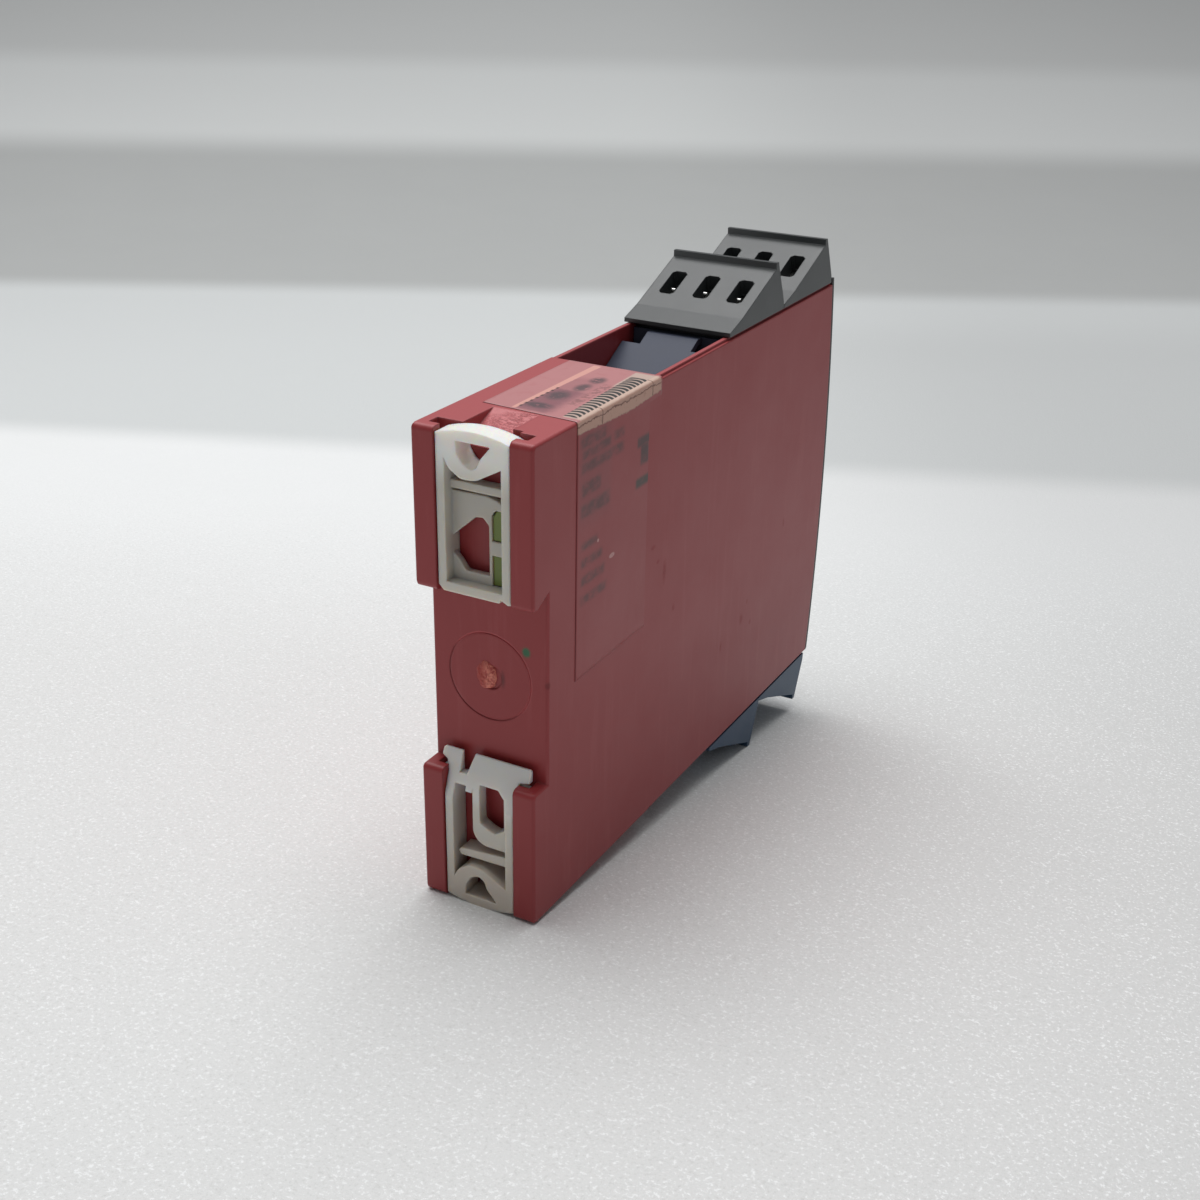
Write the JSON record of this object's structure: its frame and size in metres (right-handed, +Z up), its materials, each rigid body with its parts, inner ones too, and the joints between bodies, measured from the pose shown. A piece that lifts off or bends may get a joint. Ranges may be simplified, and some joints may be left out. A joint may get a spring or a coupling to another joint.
{
  "type": "pulse isolator",
  "caption": "Slim rail-mounted pulse isolator: red housing, sprung clip feet, plug-in screw terminals above and below, bowed front with lamps and switches.",
  "frame": {"origin": "centre of the bounding box's footprint, at the lowest point of the lower terminal blocks", "axes": "+Z up along the height of the module on its rail, +Y towards the rail, -Y towards the operator, X across the module's width"},
  "size_m": [0.0226, 0.1282, 0.1078],
  "materials": {
    "housing_red": "satin moulded red plastic",
    "cover_grey": "fine matt dark grey plastic",
    "foot_white": "natural, slightly translucent plastic",
    "strip_green": "green plastic",
    "carrier_slate": "matt blue-grey plastic",
    "plug_grey": "matt dark grey plastic",
    "plug_blue": "matt blue plastic",
    "plated_steel": "zinc-plated steel",
    "pin_brass": "tinned brass",
    "board_green": "glass-fibre board",
    "ferrite": "matt ferrite",
    "coil_tape": "taped winding",
    "chip_black": "black moulding compound",
    "can_metal": "sleeved aluminium can",
    "switch_body": "dark blue plastic",
    "lever_white": "white plastic",
    "lamp_green": "tinted lens",
    "lamp_yellow": "tinted lens",
    "lamp_red": "tinted lens"
  },
  "bodies": {
    "module": {"housing": "housing_red", "front_cover": "cover_grey", "upper_carrier": "carrier_slate", "lower_carrier": "carrier_slate", "circuit_board": "board_green", "transformer_core": "ferrite", "transformer_coil": "coil_tape", "optocouplers": "chip_black", "logic_chips": "chip_black", "capacitors": "can_metal", "setting_switch": "switch_body", "power_lamp": "lamp_green", "signal_lamp": "lamp_yellow", "fault_lamp": "lamp_red", "upper_rear_header_pins": "pin_brass", "upper_front_header_pins": "pin_brass", "lower_rear_header_pins": "pin_brass", "lower_front_header_pins": "pin_brass"},
    "upper_foot": {"upper_foot": "foot_white", "foot_strip": "strip_green"},
    "lower_foot": {"lower_foot": "foot_white"},
    "upper_rear_plug": {"upper_rear_plug": "plug_grey", "upper_rear_clamp_cages": "plated_steel", "upper_rear_clamp_screws": "plated_steel", "upper_rear_contacts": "pin_brass"},
    "upper_front_plug": {"upper_front_plug": "plug_grey", "upper_front_clamp_cages": "plated_steel", "upper_front_clamp_screws": "plated_steel", "upper_front_contacts": "pin_brass"},
    "lower_rear_plug": {"lower_rear_plug": "plug_blue", "lower_rear_clamp_cages": "plated_steel", "lower_rear_clamp_screws": "plated_steel", "lower_rear_contacts": "pin_brass"},
    "lower_front_plug": {"lower_front_plug": "plug_blue", "lower_front_clamp_cages": "plated_steel", "lower_front_clamp_screws": "plated_steel", "lower_front_contacts": "pin_brass"},
    "lever_1": {"switch_lever_1": "lever_white"},
    "lever_2": {"switch_lever_2": "lever_white"},
    "lever_3": {"switch_lever_3": "lever_white"},
    "lever_4": {"switch_lever_4": "lever_white"}
  },
  "joints": [
    {"name": "upper_foot_slide", "type": "slide", "parent": "module", "child": "upper_foot", "axis": [0, 0, 1], "range_m": [0, 0.003], "stiffness_N_per_m": 2500},
    {"name": "lower_foot_slide", "type": "slide", "parent": "module", "child": "lower_foot", "axis": [0, 0, -1], "range_m": [0, 0.004], "stiffness_N_per_m": 2500},
    {"name": "upper_rear_plug_pull", "type": "slide", "parent": "module", "child": "upper_rear_plug", "axis": [0, 0, 1], "range_m": [0, 0.012]},
    {"name": "upper_front_plug_pull", "type": "slide", "parent": "module", "child": "upper_front_plug", "axis": [0, 0, 1], "range_m": [0, 0.012]},
    {"name": "lower_rear_plug_pull", "type": "slide", "parent": "module", "child": "lower_rear_plug", "axis": [0, 0, -1], "range_m": [0, 0.012]},
    {"name": "lower_front_plug_pull", "type": "slide", "parent": "module", "child": "lower_front_plug", "axis": [0, 0, -1], "range_m": [0, 0.012]},
    {"name": "lever_1_slide", "type": "slide", "parent": "module", "child": "lever_1", "axis": [-1, 0, 0], "range_m": [0, 0.0016]},
    {"name": "lever_2_slide", "type": "slide", "parent": "module", "child": "lever_2", "axis": [-1, 0, 0], "range_m": [0, 0.0016]},
    {"name": "lever_3_slide", "type": "slide", "parent": "module", "child": "lever_3", "axis": [-1, 0, 0], "range_m": [0, 0.0016]},
    {"name": "lever_4_slide", "type": "slide", "parent": "module", "child": "lever_4", "axis": [-1, 0, 0], "range_m": [0, 0.0016]}
  ]
}
